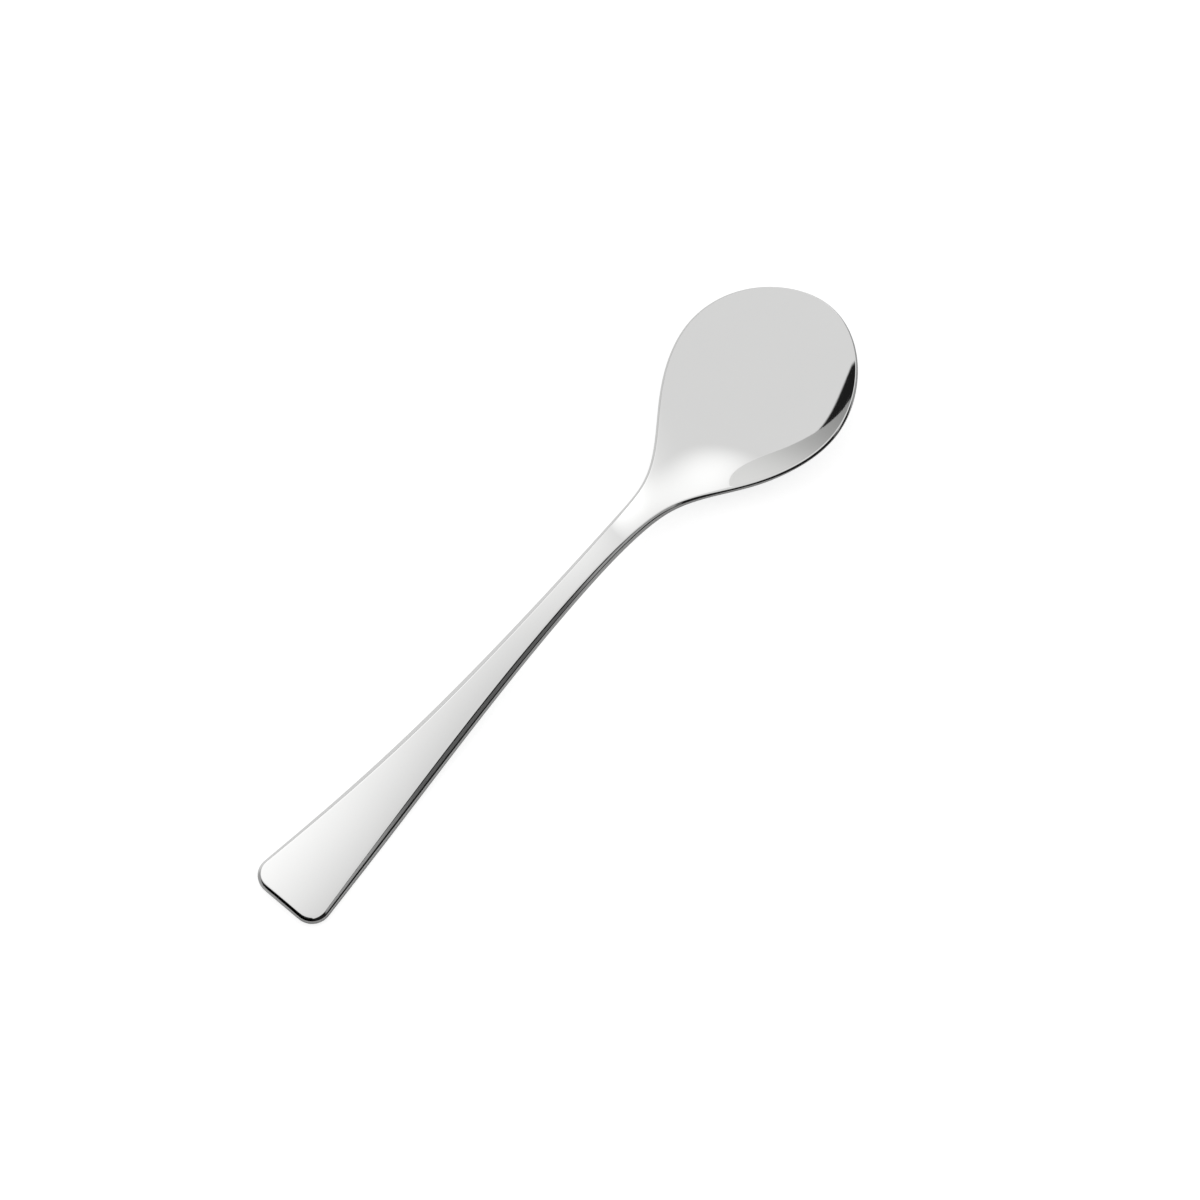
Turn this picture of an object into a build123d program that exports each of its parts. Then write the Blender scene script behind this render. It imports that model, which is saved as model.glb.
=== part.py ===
from build123d import *

import os

import numpy as np

# A plain soup spoon of solid steel, lying on its belly with the hollow side up, in millimetres.
# X runs from the handle's end to the bowl's tip, Y across and Z up from the table.
# The form is made as the real one is: an outline cut from a sheet that has been pressed to shape,
# with its edges rounded and its two resting places worn flat. A section across the neck divides
# the metal into bowl and handle.

# Length, and the distances between the places where the form is set
length = 180.0
end_to_rest = 25.0
rest_to_grip = 20.0
neck_to_root = 20.0
root_to_throat = 9.0
throat_to_flank = 10.0
flank_to_shoulder = 12.0
shoulder_to_widest = 13.0
belly_to_widest = 8.0
widest_to_nose = 14.0
nose_to_tip = 9.0

# Widths of the outline at those places
end_width = 19.3
grip_width = 10.55
neck_width = 5.8
root_width = 6.5
throat_width = 9.1
flank_width = 19.0
shoulder_width = 35.1
bowl_width = 42.7
nose_width = 32.0
end_taper = 6.2
end_corner_radius = 4.2

# Heights of the upper face along its middle
end_height = 3.65
rest_height = 3.5
grip_height = 4.65
neck_height = 10.05
root_height = 10.05
flank_height = 5.05
belly_height = 1.3
lip_height = 15.6

# Thickness of the metal along its middle
end_thickness = 2.75
rest_thickness = 3.55
grip_thickness = 3.35
neck_thickness = 3.6
root_thickness = 3.4
flank_thickness = 1.9
bowl_thickness = 1.4
lip_thickness = 1.2

# Radii across the upper face: the handle's crown and the bowl's hollow
crown_radius = 100.0
flank_radius = 24.0
shoulder_radius = 21.0
bowl_radius = 22.6
nose_radius = 17.4

# How much rounder the underside is than the upper face, in curvature: one over a radius
handle_roundness = 0.01
neck_roundness = 0.0725
root_roundness = 0.133
throat_roundness = 0.06
flank_roundness = 0.005

# Rounding of all edges
edge_radius = 0.3

# How far the pressed sheet reaches past the outline, the spacing of the points that carry it,
# and how closely it follows them
sheet_margin = 3.0
sheet_spacing = 2.0
sheet_tolerance = 0.001

end_x = -length / 2
tip_x = length / 2
rest_x = end_x + end_to_rest
grip_x = rest_x + rest_to_grip
nose_x = tip_x - nose_to_tip
widest_x = nose_x - widest_to_nose
belly_x = widest_x - belly_to_widest
shoulder_x = widest_x - shoulder_to_widest
flank_x = shoulder_x - flank_to_shoulder
throat_x = flank_x - throat_to_flank
root_x = throat_x - root_to_throat
neck_x = root_x - neck_to_root


def smooth_curve(*points):
    """The cubic spline through (place, value) points, as a function of the place."""
    places, values = np.array(points, float).T
    spans = np.diff(places)
    slopes = np.diff(values) / spans
    matrix = np.eye(len(places))
    bends = np.zeros(len(places))
    for i in range(1, len(spans)):
        matrix[i, i - 1 : i + 2] = spans[i - 1], 2 * (spans[i - 1] + spans[i]), spans[i]
        bends[i] = 6 * (slopes[i] - slopes[i - 1])
    bends = np.linalg.solve(matrix, bends)

    def value(place):
        i = int(np.clip(np.searchsorted(places, place) - 1, 0, len(spans) - 1))
        span = spans[i]
        done = place - places[i]
        left = places[i + 1] - place
        chord = (values[i] * left + values[i + 1] * done) / span
        start_bend = bends[i] * (left**3 / span - left * span) / 6
        finish_bend = bends[i + 1] * (done**3 / span - done * span) / 6
        return chord + start_bend + finish_bend

    return value


upper_height = smooth_curve(
    (end_x, end_height),
    (rest_x, rest_height),
    (grip_x, grip_height),
    (neck_x, neck_height),
    (root_x, root_height),
    (flank_x, flank_height),
    (belly_x, belly_height),
    (tip_x, lip_height),
)
thickness = smooth_curve(
    (end_x, end_thickness),
    (rest_x, rest_thickness),
    (grip_x, grip_thickness),
    (neck_x, neck_thickness),
    (root_x, root_thickness),
    (flank_x, flank_thickness),
    (belly_x, bowl_thickness),
    (tip_x, lip_thickness),
)
upper_bend = smooth_curve(
    (end_x, -1 / crown_radius),
    (grip_x, -1 / crown_radius),
    (neck_x, -1 / crown_radius),
    (root_x, 0),
    (flank_x, 1 / flank_radius),
    (shoulder_x, 1 / shoulder_radius),
    (widest_x, 1 / bowl_radius),
    (tip_x, 1 / nose_radius),
)
under_roundness = smooth_curve(
    (end_x, handle_roundness),
    (grip_x, handle_roundness),
    (neck_x, neck_roundness),
    (root_x, root_roundness),
    (throat_x, throat_roundness),
    (flank_x, flank_roundness),
    (shoulder_x, 0),
    (widest_x, 0),
    (tip_x, 0),
)


def lower_height(x):
    """The underside's height along its middle."""
    return upper_height(x) - thickness(x)


def lower_bend(x):
    """The underside's curvature across."""
    return upper_bend(x) + under_roundness(x)


def pressed_face(middle, bend):
    """A cubic face over the whole outline that follows the middle's height and bends as a parabola across."""
    half_width = bowl_width / 2 + sheet_margin
    places = np.arange(end_x - sheet_margin, tip_x + sheet_margin + sheet_spacing, sheet_spacing)
    across = np.arange(-half_width, half_width + sheet_spacing, sheet_spacing)
    rows = [[(x, y, middle(x) + bend(x) * y**2 / 2) for y in across] for x in places]
    return Face.make_surface_from_array_of_points(rows, tol=sheet_tolerance, min_deg=3, max_deg=3)


def outline_face():
    """The flat outline: one curve round both sides and the tip, and a straight end with rounded corners."""
    side = [
        (end_x, end_width / 2),
        (grip_x, grip_width / 2),
        (neck_x, neck_width / 2),
        (root_x, root_width / 2),
        (throat_x, throat_width / 2),
        (flank_x, flank_width / 2),
        (shoulder_x, shoulder_width / 2),
        (widest_x, bowl_width / 2),
        (nose_x, nose_width / 2),
    ]
    other_side = [(x, -y) for x, y in reversed(side)]
    start = Vector(1, 0).rotate(Axis.Z, -end_taper)
    finish = Vector(-1, 0).rotate(Axis.Z, end_taper)
    round_the_bowl = Spline(*side, (tip_x, 0), *other_side, tangents=[start, finish])
    return make_face([round_the_bowl, Line(other_side[-1], side[0])])


def pressed_blank():
    """The outline's metal between the two pressed faces, with sharp edges."""
    top = lip_height + bowl_width
    blank = extrude(Plane.XY.offset(-top) * outline_face(), amount=2 * top)
    end_corners = blank.edges().filter_by(Axis.Z).group_by(Axis.X)[0]
    blank = fillet(end_corners, end_corner_radius)
    above = Solid.extrude(pressed_face(upper_height, upper_bend), Vector(0, 0, 2 * top))
    below = Solid.extrude(pressed_face(lower_height, lower_bend), Vector(0, 0, -2 * top))
    return blank - above - below


def rounded(blank):
    """The blank with its upper and lower edges rounded all the way round."""
    return fillet(blank.edges().filter_by(Axis.Z, reverse=True), edge_radius)


def worn_flat(spoon):
    """The spoon with what would lie below the table taken off its belly and its handle."""
    ground = Box(2 * length, length, length, align=(Align.CENTER, Align.CENTER, Align.MAX))
    return spoon - ground


spoon = worn_flat(rounded(pressed_blank()))
neck_section = Plane((root_x, 0, 0), z_dir=(1, 0, 0))
nodes = {
    "bowl": split(spoon, bisect_by=neck_section, keep=Keep.TOP),
    "handle": split(spoon, bisect_by=neck_section, keep=Keep.BOTTOM),
}
os.makedirs("parts", exist_ok=True)
for name, solid in nodes.items():
    export_step(solid, f"parts/{name}.step")
    print(name, "volume", round(solid.volume, 1), "valid", solid.is_valid)
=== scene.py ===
import math

import bpy
import numpy as np
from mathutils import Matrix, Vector


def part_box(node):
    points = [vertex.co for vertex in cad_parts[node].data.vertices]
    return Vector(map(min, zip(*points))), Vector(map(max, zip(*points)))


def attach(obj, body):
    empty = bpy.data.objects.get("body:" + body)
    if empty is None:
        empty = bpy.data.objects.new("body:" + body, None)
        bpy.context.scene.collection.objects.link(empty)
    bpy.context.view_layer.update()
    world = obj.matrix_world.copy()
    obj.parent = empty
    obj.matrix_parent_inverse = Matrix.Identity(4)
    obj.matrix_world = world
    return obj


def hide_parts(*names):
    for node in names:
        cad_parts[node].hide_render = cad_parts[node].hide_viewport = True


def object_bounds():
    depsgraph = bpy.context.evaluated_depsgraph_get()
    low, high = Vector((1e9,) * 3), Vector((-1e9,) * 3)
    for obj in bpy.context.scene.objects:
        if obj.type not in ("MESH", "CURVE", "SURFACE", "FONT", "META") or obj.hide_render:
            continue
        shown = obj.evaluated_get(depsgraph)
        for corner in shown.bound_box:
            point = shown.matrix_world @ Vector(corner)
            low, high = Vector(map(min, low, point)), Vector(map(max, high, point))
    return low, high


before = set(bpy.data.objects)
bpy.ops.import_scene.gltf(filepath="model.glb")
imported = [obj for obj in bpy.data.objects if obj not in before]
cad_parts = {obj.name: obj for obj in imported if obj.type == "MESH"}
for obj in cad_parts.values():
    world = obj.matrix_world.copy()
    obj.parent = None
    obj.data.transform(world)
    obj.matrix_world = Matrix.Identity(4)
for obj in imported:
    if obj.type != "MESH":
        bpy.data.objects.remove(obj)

cad_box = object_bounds()

MM = 0.001

# The spoon's form in millimetres, with the outline and upper face of the solids and a slightly thicker rim.
# X runs from the handle's end to the bowl's tip, Y across and Z up from the table.

end_x = cad_box[0].x / MM
tip_x = cad_box[1].x / MM
root_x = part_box("bowl")[0].x / MM

# Places along the spoon
rest_x = end_x + 25.0
grip_x = rest_x + 20.0
neck_x = root_x - 20.0
throat_x = root_x + 9.0
flank_x = throat_x + 10.0
shoulder_x = flank_x + 12.0
widest_x = shoulder_x + 13.0
belly_x = widest_x - 8.0
nose_x = widest_x + 14.0

# Widths of the outline, each with its place
widths = [
    (end_x, 19.3),
    (grip_x, 10.55),
    (neck_x, 5.8),
    (root_x, 6.5),
    (throat_x, 9.1),
    (flank_x, 19.0),
    (shoulder_x, 35.1),
    (widest_x, 42.7),
    (nose_x, 32.0),
]
end_taper = math.radians(6.2)
end_corner_radius = 4.2

# Heights of the upper face and thickness of the metal, along the middle
upper_heights = [
    (end_x, 3.65),
    (rest_x, 3.5),
    (grip_x, 4.65),
    (neck_x, 10.05),
    (root_x, 10.05),
    (flank_x, 5.05),
    (belly_x, 1.3),
    (tip_x, 15.6),
]
thicknesses = [
    (end_x, 2.75),
    (rest_x, 3.55),
    (grip_x, 3.35),
    (neck_x, 3.6),
    (root_x, 3.4),
    (flank_x, 1.9),
    (belly_x, 1.4),
    (tip_x, 1.35),
]

# Curvature across: the handle's crown and the bowl's hollow above, and how much rounder it is underneath.
# The bowl is less round underneath, which makes its rim a little thicker than its middle.
upper_bends = [
    (end_x, -1 / 100),
    (grip_x, -1 / 100),
    (neck_x, -1 / 100),
    (root_x, 0),
    (flank_x, 1 / 24.0),
    (shoulder_x, 1 / 21.0),
    (widest_x, 1 / 22.6),
    (tip_x, 1 / 17.4),
]
added_bends = [
    (end_x, 0.01),
    (grip_x, 0.01),
    (neck_x, 0.0725),
    (root_x, 0.133),
    (throat_x, 0.06),
    (flank_x, 0.004),
    (shoulder_x, -0.0013),
    (widest_x, -0.0011),
    (tip_x, -0.0015),
]

# How far in from the outline the upper edge's bevel and the lower edge's rounding reach
upper_reaches = [
    (end_x, 0.8),
    (grip_x, 1.5),
    (neck_x, 1.1),
    (root_x, 0.82),
    (throat_x, 0.7),
    (flank_x, 0.7),
    (widest_x, 0.68),
    (tip_x, 0.53),
]
lower_reaches = [
    (end_x, 0.5),
    (grip_x, 0.7),
    (neck_x, 0.6),
    (root_x, 0.4),
    (flank_x, 0.15),
    (widest_x, 0.1),
    (tip_x, 0.1),
]

# The upper edge turns from its face to a bevel and from there to the upright side: the shares of its length
# where the bevel starts and ends, and its slopes there in degrees
bevel_starts = [
    (end_x, 0.12),
    (neck_x, 0.12),
    (root_x, 0.15),
    (flank_x, 0.28),
    (widest_x, 0.29),
    (tip_x, 0.29),
]
bevel_finishes = [
    (end_x, 0.8),
    (grip_x, 0.8),
    (neck_x, 0.8),
    (root_x, 0.8),
    (flank_x, 0.88),
    (widest_x, 0.9),
    (tip_x, 0.9),
]
bevel_first_slopes = [
    (end_x, 45.0),
    (grip_x, 45.0),
    (neck_x, 45.0),
    (root_x, 45.0),
    (flank_x, 47.5),
    (widest_x, 49.0),
    (tip_x, 49.0),
]
bevel_last_slope = 52.0

# The middle line where the ribs of the mesh meet stops short of both ends
spine_start_x = end_x + 9.0
spine_finish_x = widest_x

# How softly the two resting places are worn into the table's plane
wear = 0.03

# Ribs round the outline, points along each rib, and the decimals of a millimetre to which points are merged
BOWL_RIBS = 401
SIDE_RIBS = 121
CORNER_RIBS = 20
END_RIBS = 10
FACE_POINTS = 28
EDGE_POINTS = 25
WALL_POINTS = 3
MERGE_DECIMALS = 6

# Tries along the handle's side in the search for the place where the end's corner starts
CORNER_TRIES = 4000

# The first and last ribs lie square to X, in the plane of the neck's section
SECTION_SIDE = np.array([0.0, 1.0])


def smooth_curve(points, start=None, finish=None):
    """The cubic spline through (place, value) points, as a function of the place.

    Its slopes at the start and the finish may be given."""
    places, values = np.array(points, float).T
    spans = np.diff(places)
    slopes = np.diff(values) / spans
    matrix = np.eye(len(places))
    bends = np.zeros(len(places))
    for i in range(1, len(spans)):
        matrix[i, i - 1 : i + 2] = spans[i - 1], 2 * (spans[i - 1] + spans[i]), spans[i]
        bends[i] = 6 * (slopes[i] - slopes[i - 1])
    if start is not None:
        matrix[0, :2] = 2 * spans[0], spans[0]
        bends[0] = 6 * (slopes[0] - start)
    if finish is not None:
        matrix[-1, -2:] = spans[-1], 2 * spans[-1]
        bends[-1] = 6 * (finish - slopes[-1])
    bends = np.linalg.solve(matrix, bends)

    def value(place):
        i = np.clip(np.searchsorted(places, place) - 1, 0, len(spans) - 1)
        span = spans[i]
        done = place - places[i]
        left = places[i + 1] - place
        chord = (values[i] * left + values[i + 1] * done) / span
        start_bend = bends[i] * (left**3 / span - left * span) / 6
        finish_bend = bends[i + 1] * (done**3 / span - done * span) / 6
        return chord + start_bend + finish_bend

    return value


upper_height = smooth_curve(upper_heights)
thickness = smooth_curve(thicknesses)
upper_bend = smooth_curve(upper_bends)
added_bend = smooth_curve(added_bends)
upper_reach = smooth_curve(upper_reaches)
lower_reach = smooth_curve(lower_reaches)
bevel_start = smooth_curve(bevel_starts)
bevel_finish = smooth_curve(bevel_finishes)
bevel_first_slope = smooth_curve(bevel_first_slopes)


def upper_face(x, y):
    """The upper face's height."""
    return upper_height(x) + upper_bend(x) * y**2 / 2


def lower_face(x, y):
    """The underside's height."""
    return upper_height(x) - thickness(x) + (upper_bend(x) + added_bend(x)) * y**2 / 2


def slopes_of(face, x, y, step=0.01):
    """The face's slopes along X and along Y."""
    along = (face(x + step, y) - face(x - step, y)) / (2 * step)
    across = (face(x, y + step) - face(x, y - step)) / (2 * step)
    return along, across


class Outline:
    """The plan outline, one curve from the handle's end round the bowl and back to the end."""

    def __init__(self):
        side = [(x, width / 2) for x, width in widths]
        points = np.array(side + [(tip_x, 0)] + [(x, -y) for x, y in reversed(side)])
        chords = np.linalg.norm(np.diff(points, axis=0), axis=1)
        self.knots = np.concatenate([[0], np.cumsum(chords)])
        self.length = self.knots[-1]
        self.root = self.knots[[x for x, width in widths].index(root_x)]
        forward, inward = math.cos(end_taper), -math.sin(end_taper)
        self.x = smooth_curve(list(zip(self.knots, points[:, 0])), forward, -forward)
        self.y = smooth_curve(list(zip(self.knots, points[:, 1])), inward, inward)

    def points(self, run):
        """Plan points at distances along the curve."""
        return np.stack([self.x(run), self.y(run)], axis=1)

    def normals(self, run, step=0.01):
        """Outward normals in plan at distances along the curve."""
        tangent = self.points(run + step) - self.points(run - step)
        normal = np.stack([-tangent[:, 1], tangent[:, 0]], axis=1)
        return normal / np.linalg.norm(normal, axis=1, keepdims=True)

    def bowl(self):
        """Plan points and outward normals from the root's far side round the tip to its near side."""
        run = np.linspace(self.root, self.length - self.root, BOWL_RIBS)
        normals = self.normals(run)
        normals[0] = SECTION_SIDE
        normals[-1] = -SECTION_SIDE
        return self.points(run), normals

    def handle(self):
        """Plan points and outward normals from the root's near side round the end to its far side."""
        run = np.linspace(0, self.root, CORNER_TRIES)
        centres = self.points(run) - end_corner_radius * self.normals(run)
        touch = run[np.argmax(centres[:, 0] > end_x + end_corner_radius)]
        run = np.linspace(self.root, touch, SIDE_RIBS)
        points, normals = [self.points(run)], [self.normals(run)]
        normals[0][0] = SECTION_SIDE
        centre = points[0][-1] - end_corner_radius * normals[0][-1]
        turn = math.atan2(normals[0][-1][1], normals[0][-1][0])
        angles = np.linspace(turn, math.pi, CORNER_RIBS)[1:]
        normals.append(np.stack([np.cos(angles), np.sin(angles)], axis=1))
        points.append(centre + end_corner_radius * normals[1])
        across = np.linspace(points[1][-1][1], 0, END_RIBS)[1:]
        points.append(np.stack([np.full_like(across, end_x), across], axis=1))
        normals.append(np.tile([-1.0, 0.0], (len(across), 1)))
        points, normals = np.concatenate(points), np.concatenate(normals)
        mirror = np.array([1, -1])
        return (
            np.concatenate([points * mirror, points[-2::-1]]),
            np.concatenate([normals * mirror, normals[-2::-1]]),
        )


def edge_profile(plan, normal, face, reach, shares, slopes, down):
    """An edge from its start on a face to the upright side: distances in from the outline, and heights.

    Each row of slopes, in degrees, is reached at that row's shares of the edge's length."""
    start = plan - normal * reach[:, None]
    first_slope = np.sum(np.stack(slopes_of(face, *start.T), axis=1) * normal, axis=1)
    first_angle = np.arctan(-down * first_slope)
    steps = np.linspace(0, 1, EDGE_POINTS)
    angle = np.stack(
        [
            np.interp(steps, [0.0, *row_shares, 1.0], [row_angle, *np.radians(row_slopes), math.pi / 2])
            for row_shares, row_slopes, row_angle in zip(shares, slopes, first_angle)
        ]
    )
    middle = (angle[:, 1:] + angle[:, :-1]) / 2
    nothing = np.zeros((len(plan), 1))
    out = np.concatenate([nothing, np.cumsum(np.cos(middle), axis=1)], axis=1)
    drop = np.concatenate([nothing, np.cumsum(np.sin(middle), axis=1)], axis=1)
    scale = (reach / out[:, -1])[:, None]
    distance = reach[:, None] - out * scale
    height = face(*start.T)[:, None] - down * drop * scale
    return start, distance, height


def rib_grid(plan, normal):
    """Points and normals of the skin, with one rib for each outline point.

    A rib runs from the middle of the upper face over the edge to the middle of the underside."""
    x = plan[:, 0]
    shares = np.stack([bevel_start(x), bevel_finish(x)], axis=1)
    slopes = np.stack([bevel_first_slope(x), np.full_like(x, bevel_last_slope)], axis=1)
    up_start, up_distance, up_height = edge_profile(
        plan, normal, upper_face, upper_reach(x), shares, slopes, 1
    )
    plain = [()] * len(plan)
    low_start, low_distance, low_height = edge_profile(
        plan, normal, lower_face, lower_reach(x), plain, plain, -1
    )
    share = np.linspace(0, 1, WALL_POINTS + 2)[None, 1:-1]
    wall = up_height[:, -1:] * (1 - share) + low_height[:, -1:] * share
    distance = np.concatenate([up_distance, np.zeros_like(wall), low_distance[:, ::-1]], axis=1)
    height = np.concatenate([up_height, wall, low_height[:, ::-1]], axis=1)
    edge = np.empty(distance.shape + (3,))
    edge[..., :2] = plan[:, None, :] - normal[:, None, :] * distance[..., None]
    edge[..., 2] = height
    spine = np.stack([np.clip(x, spine_start_x, spine_finish_x), np.zeros_like(x)], axis=1)
    share = np.linspace(0, 1, FACE_POINTS)[:-1, None]
    sides = []
    for start, face, sign in ((up_start, upper_face, 1), (low_start, lower_face, -1)):
        flat = spine[:, None, :] * (1 - share) + start[:, None, :] * share
        flat_x, flat_y = flat[..., 0], flat[..., 1]
        points = np.concatenate([flat, face(flat_x, flat_y)[..., None]], axis=2)
        along, across = slopes_of(face, flat_x, flat_y)
        normals = sign * np.stack([-along, -across, np.ones_like(along)], axis=2)
        sides.append((points, normals))
    (up_points, up_normals), (low_points, low_normals) = sides
    points = np.concatenate([up_points, edge, low_points[:, ::-1]], axis=1)
    normals = np.cross(np.gradient(points, axis=1), np.gradient(points, axis=0))
    outward = np.sum(normals[:, FACE_POINTS + EDGE_POINTS, :2] * normal, axis=1)
    normals *= np.sign(outward)[:, None, None]
    normals[:, : FACE_POINTS - 1] = up_normals
    normals[:, 1 - FACE_POINTS :] = low_normals[:, ::-1]
    return points, normals / np.linalg.norm(normals, axis=2, keepdims=True)


def worn_flat(points, normals):
    """The skin with its two resting places worn smoothly into the table's plane."""
    depth = np.sqrt(points[..., 2] ** 2 + wear**2)
    kept = (1 + points[..., 2] / depth) / 2
    points[..., 2] = (points[..., 2] + depth) / 2
    normals[..., :2] *= kept[..., None]
    return points, normals / np.linalg.norm(normals, axis=2, keepdims=True)


def skin_object(name, plan, normal):
    """A closed mesh of the skin over a stretch of the outline, with the neck's section closing it."""
    points, normals = worn_flat(*rib_grid(plan, normal))
    ribs, count = points.shape[:2]
    keys = np.round(points.reshape(-1, 3), MERGE_DECIMALS)
    kept, first, index = np.unique(keys, axis=0, return_index=True, return_inverse=True)
    grid = index.reshape(ribs, count)
    quads = np.stack([grid[:-1, :-1], grid[1:, :-1], grid[1:, 1:], grid[:-1, 1:]], axis=2)
    faces = []
    for quad in quads.reshape(-1, 4).tolist():
        corners = list(dict.fromkeys(quad))
        if len(corners) > 2:
            faces.append(corners)
    section = list(dict.fromkeys(grid[0].tolist() + grid[-1, ::-1].tolist()))
    faces.append(section[::-1])
    mesh = bpy.data.meshes.new(name)
    mesh.from_pydata((kept * MM).tolist(), [], faces)
    mesh.update()
    vertex_normals = normals.reshape(-1, 3)[first]
    if np.dot(mesh.polygons[0].normal, vertex_normals[faces[0][0]]) < 0:
        mesh.flip_normals()
    mesh.polygons.foreach_set("use_smooth", [True] * (len(faces) - 1) + [False])
    corner_vertices = np.empty(len(mesh.loops), np.int32)
    mesh.loops.foreach_get("vertex_index", corner_vertices)
    corner_normals = vertex_normals[corner_vertices]
    closing = mesh.polygons[len(faces) - 1]
    corner_normals[closing.loop_start :] = closing.normal
    mesh.normals_split_custom_set(corner_normals.tolist())
    skin = bpy.data.objects.new(name, mesh)
    bpy.context.scene.collection.objects.link(skin)
    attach(skin, "root")
    return skin


outline = Outline()
bowl = skin_object("spoon_bowl", *outline.bowl())
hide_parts("bowl")
handle = skin_object("spoon_handle", *outline.handle())
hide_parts("handle")


def new_material(name):
    """A material with its node tree and its shader."""
    material = bpy.data.materials.new(name)
    material.use_nodes = True
    tree = material.node_tree
    shader = next(node for node in tree.nodes if node.type == "BSDF_PRINCIPLED")
    return material, tree, shader


def polished_steel(name, lines_per_metre):
    """Mirror-polished steel with faint smudges and fine lines, as close along X, Y and Z as given."""
    material, tree, shader = new_material(name)
    shader.inputs["Metallic"].default_value = 1.0
    place = tree.nodes.new("ShaderNodeTexCoord")
    smudges = tree.nodes.new("ShaderNodeTexNoise")
    smudges.inputs["Scale"].default_value = 70.0
    smudges.inputs["Detail"].default_value = 4.0
    tint = tree.nodes.new("ShaderNodeValToRGB")
    tint.color_ramp.elements[0].color = (0.77, 0.77, 0.765, 1)
    tint.color_ramp.elements[1].color = (0.79, 0.79, 0.785, 1)
    gloss = tree.nodes.new("ShaderNodeMapRange")
    gloss.inputs["To Min"].default_value = 0.02
    gloss.inputs["To Max"].default_value = 0.05
    stretch = tree.nodes.new("ShaderNodeMapping")
    stretch.inputs["Scale"].default_value = lines_per_metre
    lines = tree.nodes.new("ShaderNodeTexNoise")
    lines.inputs["Scale"].default_value = 1.0
    lines.inputs["Detail"].default_value = 3.0
    bump = tree.nodes.new("ShaderNodeBump")
    bump.inputs["Strength"].default_value = 0.04
    bump.inputs["Distance"].default_value = 0.00002
    tree.links.new(place.outputs["Object"], smudges.inputs["Vector"])
    tree.links.new(smudges.outputs["Fac"], tint.inputs["Fac"])
    tree.links.new(smudges.outputs["Fac"], gloss.inputs["Value"])
    tree.links.new(place.outputs["Object"], stretch.inputs["Vector"])
    tree.links.new(stretch.outputs["Vector"], lines.inputs["Vector"])
    tree.links.new(lines.outputs["Fac"], bump.inputs["Height"])
    tree.links.new(tint.outputs["Color"], shader.inputs["Base Color"])
    tree.links.new(gloss.outputs["Result"], shader.inputs["Roughness"])
    tree.links.new(bump.outputs["Normal"], shader.inputs["Normal"])
    return material


# Hairlines in the bowl, and polishing lines that run lengthwise on the handle
BOWL_LINES = (900, 2500, 900)
HANDLE_LINES = (60, 5000, 5000)

bowl.data.materials.append(polished_steel("bowl_steel", BOWL_LINES))
handle.data.materials.append(polished_steel("handle_steel", HANDLE_LINES))


# Stage: a pale floor, a surround that is even overhead and dark low down, a dim card and two lamps

# Directions from the spoon, in degrees: azimuth from +X towards +Y, and elevation
VIEW_FROM = (-139.2, 66.01)
GLOW_FROM = (22.3, 7.3)
FLAG_FROM = (-165.0, 0.0)
CARD_FROM = (-71.75, 10.0)
HANDLE_LAMP_FROM = (56.9, 33.2)
NECK_LAMP_FROM = (-5.5, 17.9)


def towards(azimuth, elevation):
    """The unit vector in a direction."""
    azimuth, elevation = math.radians(azimuth), math.radians(elevation)
    level = math.cos(elevation)
    return np.array([level * math.cos(azimuth), level * math.sin(azimuth), math.sin(elevation)])


def axes_of(facing):
    """The level direction to the left and the upward direction, as seen looking along a direction."""
    left = np.array([-facing[1], facing[0], 0]) / math.hypot(facing[0], facing[1])
    return left, np.cross(facing, left)


def flat_piece(name, centre, left, up):
    """A rectangle of the stage, with its half sizes as vectors in millimetres."""
    corners = [centre - left - up, centre + left - up, centre + left + up, centre - left + up]
    mesh = bpy.data.meshes.new(name)
    mesh.from_pydata([tuple(corner * MM) for corner in corners], [], [(0, 1, 2, 3)])
    piece = bpy.data.objects.new(name, mesh)
    bpy.context.scene.collection.objects.link(piece)
    material, tree, shader = new_material(name)
    shader.inputs["Specular IOR Level"].default_value = 0.0
    shader.inputs["Roughness"].default_value = 0.9
    shader.inputs["Emission Color"].default_value = (1, 1, 1, 1)
    mesh.materials.append(material)
    return tree, shader


def graded(tree, place, axis, low, high, at_low, at_high):
    """A value that changes smoothly along an axis, between two distances along it."""
    along = tree.nodes.new("ShaderNodeVectorMath")
    along.operation = "DOT_PRODUCT"
    along.inputs[1].default_value = tuple(axis)
    grade = tree.nodes.new("ShaderNodeMapRange")
    grade.interpolation_type = "SMOOTHSTEP"
    grade.inputs["From Min"].default_value = low
    grade.inputs["From Max"].default_value = high
    grade.inputs["To Min"].default_value = at_low
    grade.inputs["To Max"].default_value = at_high
    tree.links.new(place, along.inputs[0])
    tree.links.new(along.outputs["Value"], grade.inputs["Value"])
    return grade.outputs["Result"]


def combined(tree, operation, first, second):
    """The outcome of a math operation on two node values."""
    outcome = tree.nodes.new("ShaderNodeMath")
    outcome.operation = operation
    tree.links.new(first, outcome.inputs[0])
    tree.links.new(second, outcome.inputs[1])
    return outcome.outputs["Value"]


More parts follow.
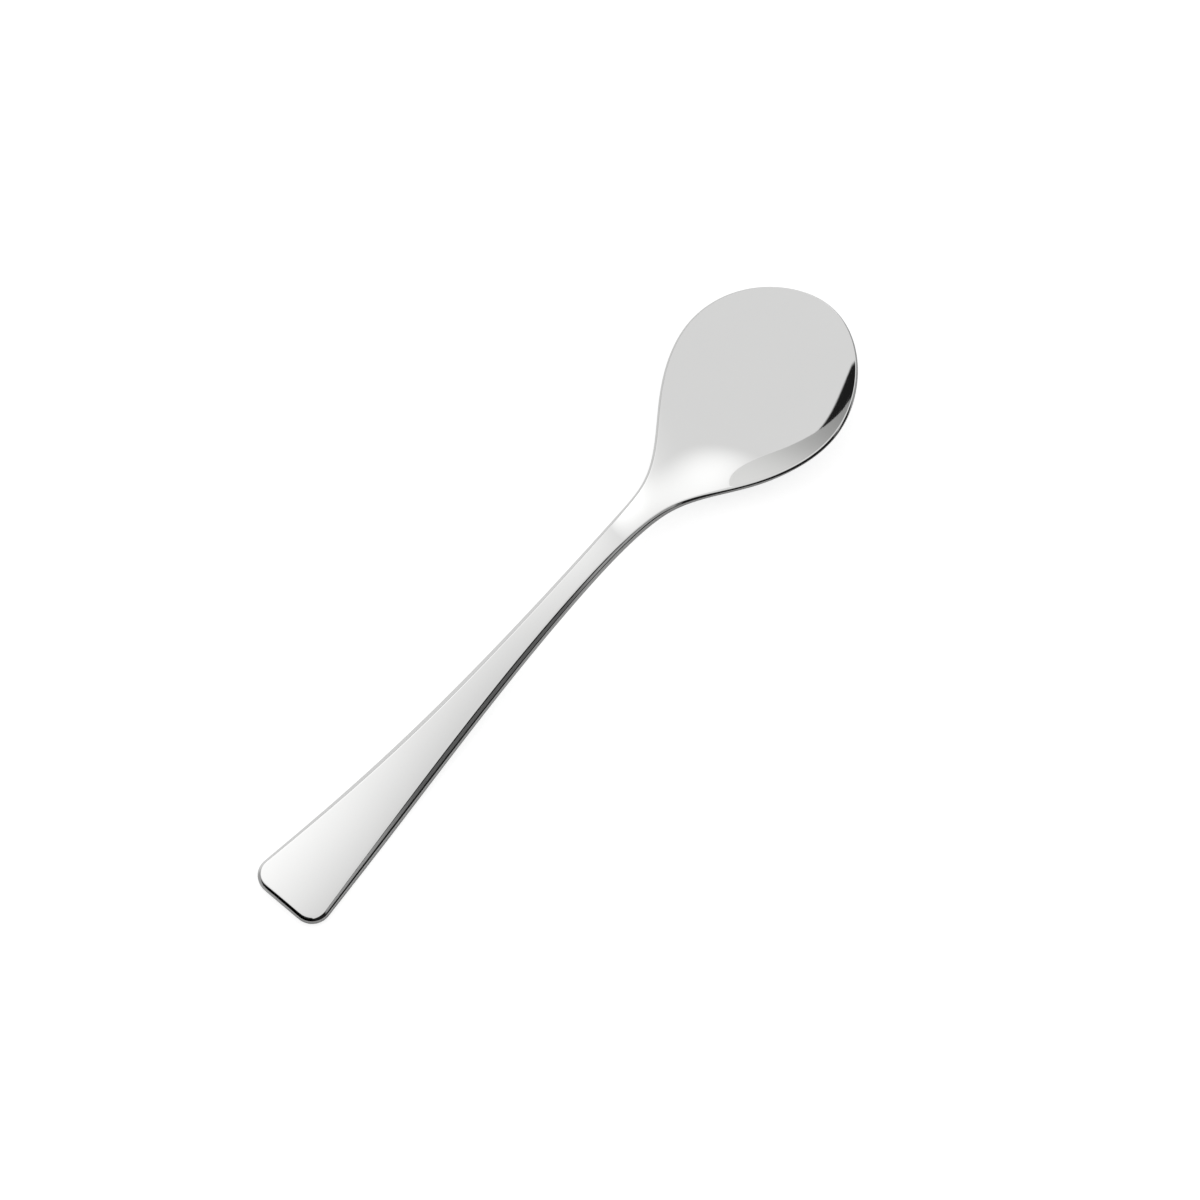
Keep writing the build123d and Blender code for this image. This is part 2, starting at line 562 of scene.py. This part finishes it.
def pale_floor():
    """A floor that the camera sees as white, apart from the spoon's shadow.

    The metal mirrors it as white only beside the spoon on the far side, where the floor glows to mirrored
    rays as a painted pool of light. Elsewhere the metal mirrors the floor's plain grey, which stands in for
    the spoon's shade on the near side."""
    half, grey = 1500.0, 0.45
    white_to_camera, painted_light_in_metal = 0.75, 0.38
    tree, shader = flat_piece("floor", np.zeros(3), np.array([half, 0, 0]), np.array([0, half, 0]))
    shader.inputs["Base Color"].default_value = (grey, grey, grey, 1)
    path = tree.nodes.new("ShaderNodeLightPath")
    place = tree.nodes.new("ShaderNodeTexCoord").outputs["Object"]
    mirrored = combined(tree, "MAXIMUM", path.outputs["Is Glossy Ray"], path.outputs["Is Transmission Ray"])
    # Painted light: to mirrored rays the floor glows on the spoon's far side, from past the handle's end,
    # fading out 100 to 140 mm away. Elsewhere the metal sees only the floor's plain grey.
    far_side = graded(tree, place, (0, 1, 0), -8 * MM, 8 * MM, 0.0, painted_light_in_metal)
    inside_end = graded(tree, place, (1, 0, 0), -94 * MM, -86 * MM, 0.0, 1.0)
    close_by = graded(tree, place, (0, 1, 0), 100 * MM, 140 * MM, 1.0, 0.0)
    painted_far_light = combined(tree, "MULTIPLY", combined(tree, "MULTIPLY", far_side, inside_end), close_by)
    seen = tree.nodes.new("ShaderNodeMapRange")
    seen.inputs["To Max"].default_value = white_to_camera
    tree.links.new(path.outputs["Is Camera Ray"], seen.inputs["Value"])
    white = combined(tree, "ADD", seen.outputs["Result"], combined(tree, "MULTIPLY", mirrored, painted_far_light))
    tree.links.new(white, shader.inputs["Emission Strength"])


def dim_card():
    """A low grey card that the near edge of the handle mirrors, fainter towards the neck's side."""
    distance, width, height = 700.0, 247.0, 86.0
    grey, faint, full = 0.1, 0.08, 0.31
    facing = towards(*CARD_FROM)
    left, up = axes_of(facing)
    tree, shader = flat_piece("dim_card", facing * distance, left * width / 2, up * height / 2)
    shader.inputs["Base Color"].default_value = (grey, grey, grey, 1)
    place = tree.nodes.new("ShaderNodeTexCoord").outputs["Object"]
    strength = graded(tree, place, left, -81 * MM, -39 * MM, faint, full)
    tree.links.new(strength, shader.inputs["Emission Strength"])


def soft_lamp(name, facing, distance, left_by, up_by, width, height, fade, widest_tangent, brightness):
    """A lamp that fades towards its edges, with a grid that hides it from directions past a widest angle.

    Sizes are in millimetres. The lamp faces the spoon from a direction, shifted to the left and upwards."""
    left, up = axes_of(facing)
    lamp_data = bpy.data.lights.new(name, "AREA")
    lamp_data.shape = "RECTANGLE"
    lamp_data.size = width * MM
    lamp_data.size_y = height * MM
    widest = math.atan(widest_tangent)
    lamp_data.spread = 2 * widest
    area = lamp_data.size * lamp_data.size_y
    lamp_data.energy = brightness * math.pi * area * (widest_tangent - widest)
    lamp_data.use_nodes = True
    tree = lamp_data.node_tree
    place = tree.nodes.new("ShaderNodeNewGeometry")
    split = tree.nodes.new("ShaderNodeSeparateXYZ")
    tree.links.new(place.outputs["Parametric"], split.inputs["Vector"])
    fades = []
    for axis, size in (("X", width), ("Y", height)):
        from_edge = tree.nodes.new("ShaderNodeMath")
        from_edge.operation = "PINGPONG"
        from_edge.inputs[1].default_value = 0.5
        faded = tree.nodes.new("ShaderNodeMapRange")
        faded.interpolation_type = "SMOOTHSTEP"
        faded.inputs["From Max"].default_value = fade / size
        tree.links.new(split.outputs[axis], from_edge.inputs[0])
        tree.links.new(from_edge.outputs["Value"], faded.inputs["Value"])
        fades.append(faded.outputs["Result"])
    shine = next(node for node in tree.nodes if node.type == "EMISSION")
    tree.links.new(combined(tree, "MULTIPLY", *fades), shine.inputs["Strength"])
    lamp = bpy.data.objects.new(name, lamp_data)
    lamp.location = (facing * distance + left * left_by + up * up_by) * MM
    lamp.rotation_euler = Vector(facing).to_track_quat("Z", "Y").to_euler()
    bpy.context.scene.collection.objects.link(lamp)


def soft_surround():
    """Light that is even overhead, dark low down and behind the handle, and brighter low beyond the bowl.

    Where the bowl mirrors itself, it is brighter towards the tip and dimmer towards the handle."""
    overhead_axis = (0.0, 0.094, 1.0)
    overhead_level, horizon_level, glow_level, flagged_share = 0.845, 0.015, 0.52, 0.05
    handle_lean, tip_lean = -0.575, 0.595
    world = bpy.data.worlds.new("surround")
    world.use_nodes = True
    tree = world.node_tree
    background = tree.nodes["Background"]
    background.inputs["Color"].default_value = (1, 1, 1, 1)
    direction = tree.nodes.new("ShaderNodeTexCoord").outputs["Generated"]
    overhead = graded(tree, direction, overhead_axis, 0.19, 0.22, horizon_level, overhead_level)
    unflagged = graded(tree, direction, towards(*FLAG_FROM), 0.79, 0.81, 1.0, flagged_share)
    glow = graded(tree, direction, towards(*GLOW_FROM), 0.8, 1.0, 0.0, glow_level)
    path = tree.nodes.new("ShaderNodeLightPath")
    mirrored_twice = tree.nodes.new("ShaderNodeMapRange")
    mirrored_twice.inputs["From Min"].default_value = 1.0
    mirrored_twice.inputs["From Max"].default_value = 2.0
    tree.links.new(path.outputs["Glossy Depth"], mirrored_twice.inputs["Value"])
    lean = graded(tree, direction, (1, 0, 0), -0.7, 0.7, handle_lean, tip_lean)
    leaning = tree.nodes.new("ShaderNodeMath")
    leaning.operation = "MULTIPLY_ADD"
    leaning.inputs[2].default_value = 1.0
    tree.links.new(mirrored_twice.outputs["Result"], leaning.inputs[0])
    tree.links.new(lean, leaning.inputs[1])
    steady = combined(tree, "ADD", combined(tree, "MULTIPLY", overhead, unflagged), glow)
    strength = combined(tree, "MULTIPLY", steady, leaning.outputs["Value"])
    tree.links.new(strength, background.inputs["Strength"])
    bpy.context.scene.world = world


pale_floor()
dim_card()
soft_lamp(
    "handle_lamp",
    towards(*HANDLE_LAMP_FROM),
    distance=61.7,
    left_by=43.4,
    up_by=79.1,
    width=171.8,
    height=183.3,
    fade=43.0,
    widest_tangent=0.983,
    brightness=0.856,
)
soft_lamp(
    "neck_lamp",
    towards(*NECK_LAMP_FROM),
    distance=52.75,
    left_by=29.1,
    up_by=28.6,
    width=48.7,
    height=73.2,
    fade=24.3,
    widest_tangent=1.217,
    brightness=3.36,
)
soft_surround()


# Camera at the photograph's angle
VIEW_DISTANCE = 800.0
VIEW_TARGET = np.array([7.47, -4.42, -0.25])
PIXELS_PER_MM = 4.572
IMAGE_PIXELS = 1200

camera_data = bpy.data.cameras.new("camera")
camera_data.sensor_width = 36.0
camera_data.lens = PIXELS_PER_MM * VIEW_DISTANCE / IMAGE_PIXELS * camera_data.sensor_width
camera = bpy.data.objects.new("camera", camera_data)
camera.location = (VIEW_TARGET + towards(*VIEW_FROM) * VIEW_DISTANCE) * MM
camera.rotation_euler = Vector(towards(*VIEW_FROM)).to_track_quat("Z", "Y").to_euler()
bpy.context.scene.collection.objects.link(camera)
bpy.context.scene.camera = camera
bpy.context.scene.view_settings.view_transform = "Standard"
